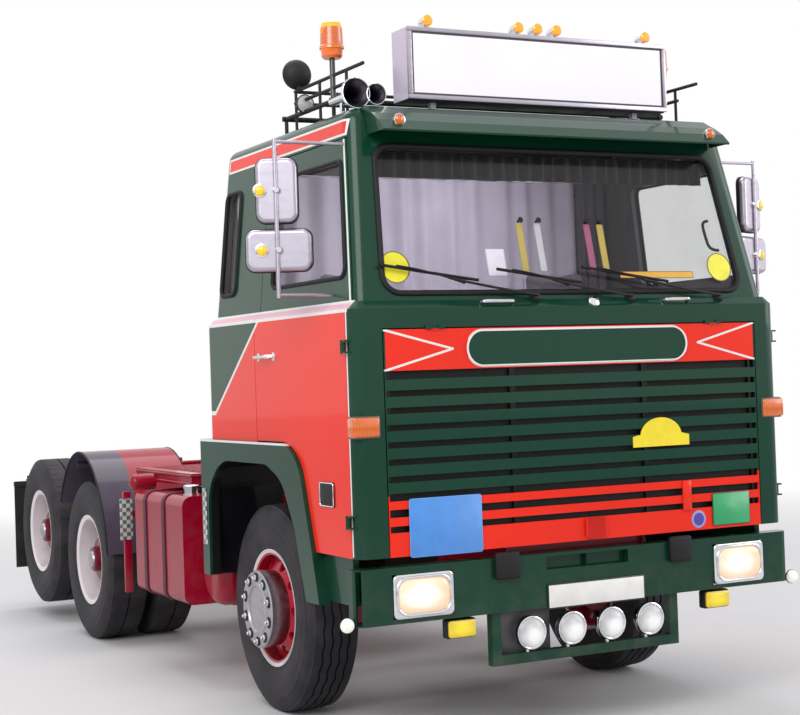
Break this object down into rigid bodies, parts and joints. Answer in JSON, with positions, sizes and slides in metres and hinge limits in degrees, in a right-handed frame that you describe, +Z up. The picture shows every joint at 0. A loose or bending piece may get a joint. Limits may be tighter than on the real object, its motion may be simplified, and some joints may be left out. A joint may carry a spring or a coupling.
{
  "type": "decorated three-axle tractor unit with a tilting sleeper cab",
  "caption": "Cab-over road tractor with sleeper cab, louvred front hatch, roof sign and lamps, fifth wheel, twin rear wheels and lifted tag axle; cab, doors, hatch, steering and wheels move.",
  "frame": {"origin": "on the ground under the middle of the truck's box", "axes": "+Z up, the truck faces -Y, +X is its left side"},
  "size_m": [3.1496, 6.478, 3.507],
  "materials": {
    "cab_green": "gloss",
    "orange_red": "gloss",
    "chassis_red": "gloss",
    "frame_black": "satin",
    "tyre_rubber": "matt",
    "rim_paint": "satin",
    "bright_metal": "polished",
    "iron": "matt",
    "spring_steel": "matt",
    "glass": "clear",
    "black_rubber": "matt",
    "cab_trim": "matt",
    "seat_cloth": "woven",
    "sign_white": "gloss",
    "amber_lens": "gloss",
    "lamp_lens": "gloss",
    "mirror_shell": "satin"
  },
  "bodies": {
    "chassis": {"frame_rails": "chassis_red", "front_bumper": "cab_green", "headlamps": "lamp_lens", "spot_lamps": "bright_metal", "fifth_wheel": "iron", "fuel_tank": "chassis_red", "battery_box": "chassis_red", "air_tanks": "chassis_red", "catwalk": "chassis_red", "rear_mudguards": "chassis_red", "mud_flaps": "black_rubber", "engine": "iron", "radiator": "frame_black", "front_axle": "chassis_red", "rear_axles": "chassis_red", "leaf_springs": "spring_steel"},
    "knuckle_left": {"knuckle_left": "iron"},
    "knuckle_right": {"knuckle_right": "iron"},
    "tie_rod": {"tie_rod": "frame_black"},
    "cab": {"cab_floor": "cab_trim", "cab_front": "cab_green", "cab_sides": "cab_green", "rear_wall": "cab_green", "roof": "cab_green", "cab_glass": "glass", "wheel_arches": "cab_green", "sun_visor": "cab_green", "roof_sign": "sign_white", "roof_rack": "frame_black", "roof_lamps": "amber_lens", "air_horns": "bright_metal", "dashboard": "cab_trim", "seats": "seat_cloth", "bunk": "seat_cloth"},
    "steering_wheel": {"steering_wheel": "cab_trim"},
    "door_left": {"door_left": "orange_red", "door_glass_left": "glass", "mirrors_left": "mirror_shell"},
    "door_right": {"door_right": "orange_red", "door_glass_right": "glass", "mirrors_right": "mirror_shell"},
    "front_hatch": {"front_hatch": "cab_green"},
    "wheel_front_left": {"tyre_front_left": "tyre_rubber", "rim_front_left": "rim_paint"},
    "wheel_front_right": {"tyre_front_right": "tyre_rubber", "rim_front_right": "rim_paint"},
    "wheel_drive_left": {"tyre_drive_left": "tyre_rubber", "rim_drive_left": "rim_paint"},
    "wheel_drive_right": {"tyre_drive_right": "tyre_rubber", "rim_drive_right": "rim_paint"},
    "wheel_tag_left": {"tyre_tag_left": "tyre_rubber", "rim_tag_left": "rim_paint"},
    "wheel_tag_right": {"tyre_tag_right": "tyre_rubber", "rim_tag_right": "rim_paint"}
  },
  "joints": [
    {"name": "steer_left", "type": "hinge", "parent": "chassis", "child": "knuckle_left", "pos_m": [0.812, -1.871, 0.5], "axis": [0, 0, 1], "range_deg": [-35, 35]},
    {"name": "steer_right", "type": "hinge", "parent": "chassis", "child": "knuckle_right", "pos_m": [-0.812, -1.871, 0.5], "axis": [0, 0, 1], "range_deg": [-35, 35]},
    {"name": "tie_rod_end", "type": "hinge", "parent": "knuckle_left", "child": "tie_rod", "pos_m": [0.812, -1.671, 0.37], "axis": [0, 0, 1], "range_deg": [-35, 35]},
    {"name": "cab_tilt", "type": "hinge", "parent": "chassis", "child": "cab", "pos_m": [0, -3.163, 0.96], "axis": [1, 0, 0], "range_deg": [0, 55]},
    {"name": "door_left_hinge", "type": "hinge", "parent": "cab", "child": "door_left", "pos_m": [1.235, -3.145, 1.5], "axis": [0, 0, -1], "range_deg": [0, 70]},
    {"name": "door_right_hinge", "type": "hinge", "parent": "cab", "child": "door_right", "pos_m": [-1.235, -3.145, 1.5], "axis": [0, 0, 1], "range_deg": [0, 70]},
    {"name": "front_hatch_hinge", "type": "hinge", "parent": "cab", "child": "front_hatch", "pos_m": [0, -3.229, 1.955], "axis": [-1, 0, 0], "range_deg": [0, 75]},
    {"name": "steering_wheel_turn", "type": "hinge", "parent": "cab", "child": "steering_wheel", "pos_m": [0.64, -2.603, 2.04], "axis": [0, 0.419, 0.908], "range_deg": [-525, 525]},
    {"name": "roll_front_left", "type": "hinge", "parent": "knuckle_left", "child": "wheel_front_left", "pos_m": [0.976, -1.871, 0.542], "axis": [1, 0, 0], "continuous": true},
    {"name": "roll_front_right", "type": "hinge", "parent": "knuckle_right", "child": "wheel_front_right", "pos_m": [-0.976, -1.871, 0.542], "axis": [1, 0, 0], "continuous": true},
    {"name": "roll_drive_left", "type": "hinge", "parent": "chassis", "child": "wheel_drive_left", "pos_m": [0.901, 1.239, 0.542], "axis": [1, 0, 0], "continuous": true},
    {"name": "roll_drive_right", "type": "hinge", "parent": "chassis", "child": "wheel_drive_right", "pos_m": [-0.901, 1.239, 0.542], "axis": [1, 0, 0], "continuous": true},
    {"name": "roll_tag_left", "type": "hinge", "parent": "chassis", "child": "wheel_tag_left", "pos_m": [0.901, 2.539, 0.652], "axis": [1, 0, 0], "continuous": true},
    {"name": "roll_tag_right", "type": "hinge", "parent": "chassis", "child": "wheel_tag_right", "pos_m": [-0.901, 2.539, 0.652], "axis": [1, 0, 0], "continuous": true}
  ],
  "couplings": [
    {"joint": "steer_right", "follows": "steer_left", "ratio": 1},
    {"joint": "tie_rod_end", "follows": "steer_left", "ratio": -1},
    {"joint": "steering_wheel_turn", "follows": "steer_left", "ratio": 15}
  ]
}
